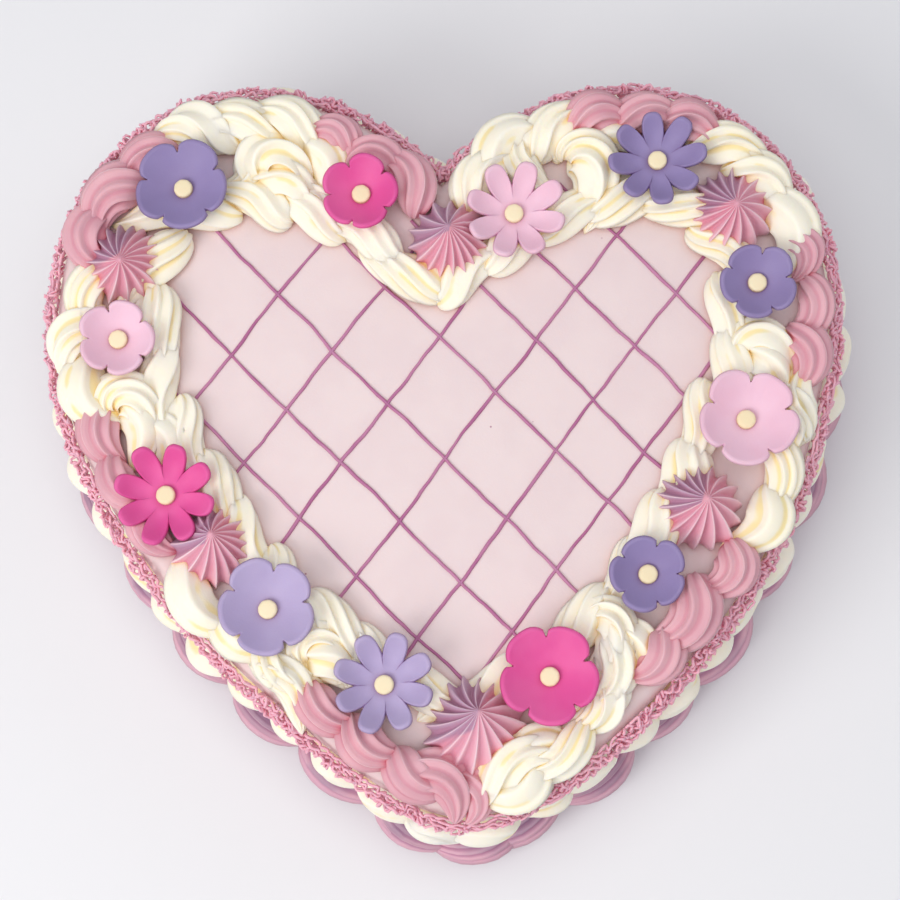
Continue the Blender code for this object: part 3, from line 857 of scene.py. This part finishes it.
# a row of shells: first is the share of the pitch before the first shell, drift moves a shell
# in or out, sway turns it in degrees and jitter changes its size
shellRow = {"first": 0.1, "drift": 0.7, "slant": 0, "size": 1, "sway": 8}
topRow = {**shellRow, "pitch": 17.6, "count": 3, "before": 1.6, "level": deck, "stand": standAt,
          "jitter": 0.08, "lumps": (12, 0.8)}
topSway = {"cream": 15, "pink": 8}
# groups of the top border: side, place of the middle, offset from the wall, slant, share of full size
topGroups = {
    "cream": ((1, 22, -11, 0, 1.0), (1, 124, -12, 0, 1.0), (1, 229, -10, 0, 0.95), (1, 343, -10, 0, 0.9),
              (-1, 69, -12, 0, 1.1), (-1, 183, -11, 0, 1.0), (-1, 297, -11, 0, 1.0)),
    "pink": ((1, 75, -11, 4, 1.05), (1, 175, -10, 0, 0.95), (1, 286, -11, 6, 1.1), (-1, 22, -10.5, 0, 1.0),
             (-1, 130, -12, 4, 1.1), (-1, 237, -11.5, 4, 1.0), (-1, 352, -11.5, 6, 1.1))}
# single strokes: from a node, across, up, heading and size
leaves = {
    "cream": (("rosette_1", 2, -4, -40, 0.95), ("rosette_2", 0, -1, -95, 0.75),
              ("rosette_3", 1, -3, -60, 0.9), ("rosette_4", 1, -3, -60, 0.9),
              ("rosette_5", 2, -2, -30, 0.85), ("rosette_6", 0, -3, -95, 0.85),
              ("rosette_1", -9.5, 3, 240, 0.6), ("rosette_1", 12.5, 3, 305, 0.85),
              ("rosette_1", 12, -9, 295, 0.6), ("rosette_1", -6, 12, 10, 0.7),
              ("rosette_2", 3, -7, 285, 0.6), ("rosette_2", -14, 2, 120, 0.8),
              ("rosette_2", 10, 9, 10, 0.75), ("rosette_3", 12.6, -14.4, 78, 0.95),
              ("rosette_3", -3, -9, 255, 0.8), ("rosette_4", 10, -8, 300, 0.75),
              ("rosette_4", -2, 10, 170, 0.7), ("rosette_5", -14, -7, 320, 0.9),
              ("rosette_5", 10, -7, 330, 0.7), ("rosette_6", 0, -8, 262, 0.9),
              ("rosette_6", 9, -4, 290, 0.7), ("star_drop_5", 13, -15, 38, 1.05),
              ("star_drop_5", 20, -7, 20, 0.8)),
    "pink": (("star_drop_5", -10, -18, -52, 1.05), ("star_drop_5", -1, -20, -40, 0.85))}
leafShift = -9


def shellKinds(name, shell, kinds=6):
    return [pipeStroke(name + str(kind), shell["tip"], shellStations(shell)) for kind in range(kinds)]


def layShells(kinds, line, row):
    # copies of the shells, one after another along a line
    made = []
    jitter, sway = row["jitter"], row["sway"]
    for index in range(row["count"]):
        place, along, out = walk(line, row["start"] * mm + row["pitch"] * (index + row["first"]) * mm)
        place = place + out * (row["offset"] + dice.uniform(-row["drift"], row["drift"])) * mm
        place.z = row["level"]
        turn = Matrix.Rotation(math.radians(row["slant"] + dice.uniform(-sway, sway)), 4, "Z")
        grow = [row["size"] * (1 + dice.uniform(-jitter, jitter)) for _ in range(3)]
        matrix = row["stand"](place, along, out) @ turn @ Matrix.Diagonal(grow + [1])
        made.append(copyTo(dice.choice(kinds), matrix))
    return made


def removeAll(pieces):
    for piece in pieces:
        bpy.data.objects.remove(piece)


def makeTopBorder(colour, shell, material):
    # groups of strokes along the edge, and the single strokes between the toppings
    kinds = shellKinds(colour + "Shell", shell)
    pieces = []
    for side, middle, offset, slant, size in topGroups[colour]:
        start = middle - topRow["before"] * topRow["pitch"]
        group = {"start": start, "offset": offset, "slant": slant, "size": size, "sway": topSway[colour]}
        pieces += layShells(kinds, walls[side], {**topRow, **group})
    for node, across, up, heading, size in leaves[colour]:
        spot = Matrix.Translation(placeOf(node)[0] + Vector((across * mm, up * mm, deck)))
        turn = Matrix.Rotation(math.radians(heading), 4, "Z")
        shift = Matrix.Translation((leafShift * mm, 0, 0))
        pieces.append(copyTo(dice.choice(kinds), spot @ turn @ Matrix.Scale(size, 4) @ shift))
    border = joinPieces(colour + "TopBorder", pieces)
    unevenSurface(border, *topRow["lumps"])
    pressUnderFlowers(border)
    dress(border, material, nodesNamed("top_border_" + colour))
    removeAll(kinds)


makeTopBorder("cream", creamShell, cream)
makeTopBorder("pink", pinkShell, pink)
print("top border made")


# chains run along both halves of a line; extras are side, place, offset and size of single shells
chainRow = {**shellRow, "start": 0, "level": deck, "stand": standAt, "sway": 5, "lumps": (14, 0.7)}
innerBorder = {**chainRow, "lines": panels, "count": 15, "offset": 1.5, "jitter": 0.12, "extras": ()}
baseBorder = {**chainRow, "lines": walls, "count": 13, "offset": -0.4, "level": 0, "jitter": 0.03,
              "extras": ((1, 368, 1, 0.95), (-1, 362, 0.5, 0.95))}
sideSwags = {**chainRow, "lines": walls, "count": 22, "offset": 0.4, "level": 52 * mm, "stand": hangAt,
             "jitter": 0.05, "extras": ((1, 366, 1.8, 1.0), (-1, 372, 1.4, 1.0))}
extraRow = {"pitch": 0, "count": 1, "jitter": 0, "sway": 8}


def makeChain(name, shell, chain, material, nodes):
    kinds = shellKinds(name + "Shell", shell)
    pieces = []
    for side in (1, -1):
        line = chain["lines"][side]
        pieces += layShells(kinds, line, {**chain, "pitch": line["length"] / chain["count"] / mm})
    for side, place, offset, size in chain["extras"]:
        single = {**chain, **extraRow, "start": place, "offset": offset, "size": size}
        pieces += layShells(kinds, chain["lines"][side], single)
    joined = joinPieces(name, pieces)
    unevenSurface(joined, *chain["lumps"])
    for vertex in joined.data.vertices:
        vertex.co.z = max(vertex.co.z, 0)
    pressUnderFlowers(joined)
    removeAll(kinds)
    return dress(joined, material, nodes)


makeChain("innerBorder", innerShell, innerBorder, cream, nodesNamed("inner_border"))
makeChain("baseBorder", baseShell, baseBorder, baseIcing,
          ["base_border_left", "base_border_right"])
makeChain("sideSwags", swagShell, sideSwags, cream, ["side_swags_left", "side_swags_right"])
print("inner border, base border and swags made")


# squiggled frill round the top edge; strands are height and reach from the wall

frill = {"strands": ((73.4, 0.7), (72.0, 2.0), (70.3, 3.2), (68.3, 3.9), (66.2, 3.4), (64.2, 2.2)),
         "pace": 0.84, "wild": (1.3, 3.6), "radius": 0.47, "step": 0.45, "nearest": 0.2, "farthest": 5.2,
         "calmRate": 95, "calmSwing": 1.6, "tangleRate": 0.62, "thicknessRate": 180, "thickness": 0.35,
         "riseRate": 55, "rise": 1.2}


def frillStrand(line, height, reach):
    # knots of one strand: it tangles up, then runs on nearly straight
    shift = dice.uniform(0, 100)
    run, beat, points = 0, 0, []
    least, most = frill["wild"]
    while run < line["length"]:
        slow = noise.noise(Vector((run * frill["calmRate"], shift, 2)))
        calm = min(max(0.5 + frill["calmSwing"] * slow, 0), 1)
        wild = least + (most - least) * (1 - calm)
        beat += frill["step"]
        run += frill["pace"] * frill["step"] * (0.5 + 1.3 * calm) * mm
        away, lift, ahead = noise.noise_vector(Vector((beat * frill["tangleRate"], shift, 0))) * wild
        place, along, out = walk(line, run + ahead * mm)
        point = place + out * min(max(reach + away, frill["nearest"]), frill["farthest"]) * mm
        thick = 1 + frill["thickness"] * noise.noise(Vector((run * frill["thicknessRate"], shift, 5)))
        rise = frill["rise"] * noise.noise(Vector((run * frill["riseRate"], shift, 5)))
        points.append((point.x, point.y, (height + rise + lift) * mm, thick))
    return points


def makeFrill():
    string = bpy.data.curves.new("frillString", "CURVE")
    string.dimensions = "3D"
    string.bevel_depth = frill["radius"] * mm
    string.bevel_resolution = 1
    string.use_fill_caps = True
    for side in (1, -1):
        for height, reach in frill["strands"]:
            points = frillStrand(walls[side], height, reach)
            spline = string.splines.new("POLY")
            spline.points.add(len(points) - 1)
            for knot, (x, y, z, thick) in zip(spline.points, points):
                knot.co = (x, y, z, 1)
                knot.radius = thick
    piece = bpy.data.objects.new("frill", string)
    bpy.context.scene.collection.objects.link(piece)
    makeActive(piece)
    bpy.ops.object.convert(target="MESH")
    return dress(bpy.context.object, frillPink, ["frill_left", "frill_right"])


makeFrill()
removeAll((bead, dab))
print("frill made")


# floor, light and camera

studio = {"floorSize": 16, "floorColour": (0.80, 0.80, 0.82, 1), "floorRoughness": 0.8,
          "worldColour": (0.93, 0.95, 1.0, 1), "worldStrength": 0.50}
# place and aim in metres
lamps = {"keyLight": {"place": (-0.75, -0.65, 0.95), "aim": (0, 0, 0.05), "size": 0.7, "power": 8.2,
                      "colour": (1, 0.98, 0.95)},
         "fillLight": {"place": (0.9, 0.5, 0.9), "aim": (0, 0, 0.05), "size": 1.0, "power": 1.8,
                       "colour": (0.97, 0.98, 1)},
         "topLight": {"place": (-0.1, -0.1, 1.3), "aim": (0, 0, 0), "size": 0.9, "power": 5.2,
                      "colour": (1, 0.99, 0.98)}}


def addLight(name, place, aim, size, power, colour):
    lamp = bpy.data.lights.new(name, "AREA")
    lamp.size = size
    lamp.energy = power
    lamp.color = colour
    holder = bpy.data.objects.new(name, lamp)
    holder.location = place
    holder.rotation_euler = (Vector(aim) - Vector(place)).to_track_quat("-Z", "Y").to_euler()
    bpy.context.scene.collection.objects.link(holder)


deselectAll()
bpy.ops.mesh.primitive_plane_add(size=studio["floorSize"])
floor = bpy.context.object
floor.name = "floor"
floorPaint, nodes, links, shader = newMaterial("floorPaint")
shader.inputs["Base Color"].default_value = studio["floorColour"]
shader.inputs["Roughness"].default_value = studio["floorRoughness"]
floor.data.materials.append(floorPaint)

world = bpy.data.worlds.new("studio")
bpy.context.scene.world = world
world.use_nodes = True
world.node_tree.nodes["Background"].inputs["Color"].default_value = studio["worldColour"]
world.node_tree.nodes["Background"].inputs["Strength"].default_value = studio["worldStrength"]
for name, lamp in lamps.items():
    addLight(name, **lamp)
bpy.context.scene.view_settings.view_transform = "Standard"

# lens and sensor, distance and aim in mm, tilts from straight down in degrees
view = {"lens": 80, "sensor": 36, "distance": 697, "sideTilt": 1.64, "tilt": 9.95, "aim": (0.7, 9.4)}
sideTilt, tilt = math.radians(view["sideTilt"]), math.radians(view["tilt"])
back = Vector((math.tan(sideTilt), -math.tan(tilt), 1)).normalized()
rightward = (-back).cross(Vector((0, 1, 0))).normalized()
upward = back.cross(rightward)
camera = bpy.data.cameras.new("camera")
camera.lens = view["lens"]
camera.sensor_width = view["sensor"]
eye = bpy.data.objects.new("camera", camera)
turned = Matrix((rightward, upward, back)).transposed().to_4x4()
turned.translation = Vector((*view["aim"], 0)) * mm + back * view["distance"] * mm
eye.matrix_world = turned
bpy.context.scene.collection.objects.link(eye)
bpy.context.scene.camera = eye
print("stage made")
